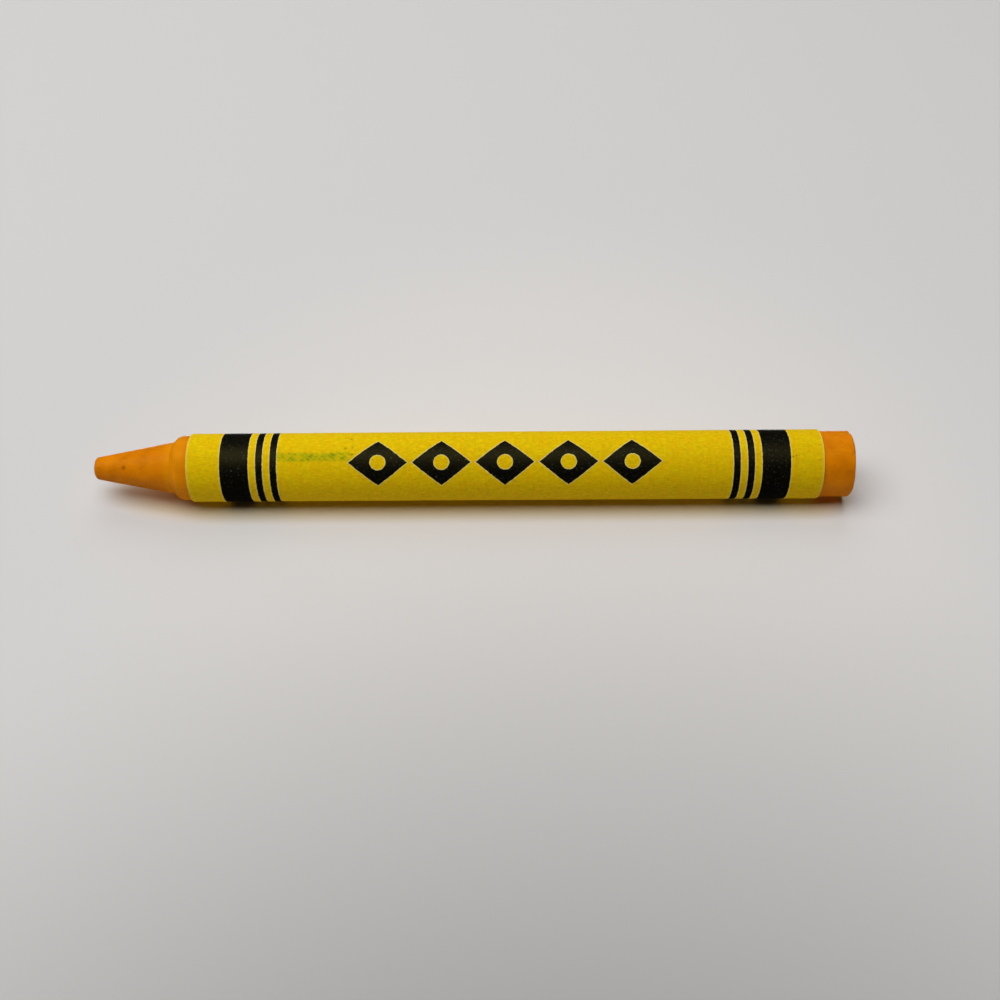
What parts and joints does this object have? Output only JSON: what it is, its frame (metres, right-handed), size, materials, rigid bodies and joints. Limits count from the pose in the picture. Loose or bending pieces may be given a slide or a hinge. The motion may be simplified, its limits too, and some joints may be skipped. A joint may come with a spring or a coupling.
{
  "type": "wax crayon",
  "caption": "Round wax crayon: a moulded wax stick with a blunt cone tip and a bevelled shoulder, in a wound paper wrapper that leaves both ends bare and is printed with plain rings and a row of lozenges.",
  "frame": {"origin": "centre of the flat butt face, which the crayon stands on", "axes": "+Z along the crayon's axis, from the butt to the tip; -Y towards the side shown in the picture, and +X towards the picture's top edge"},
  "size_m": [0.0084, 0.0084, 0.092],
  "materials": {
    "wax": "orange pigmented wax, smooth from the mould, with a soft sheen",
    "wrapper_paper": "uncoated yellow paper, with plain black printed fields, matt"
  },
  "bodies": {
    "root": {"wax_stick": "wax", "paper_wrapper": "wrapper_paper"}
  },
  "joints": []
}
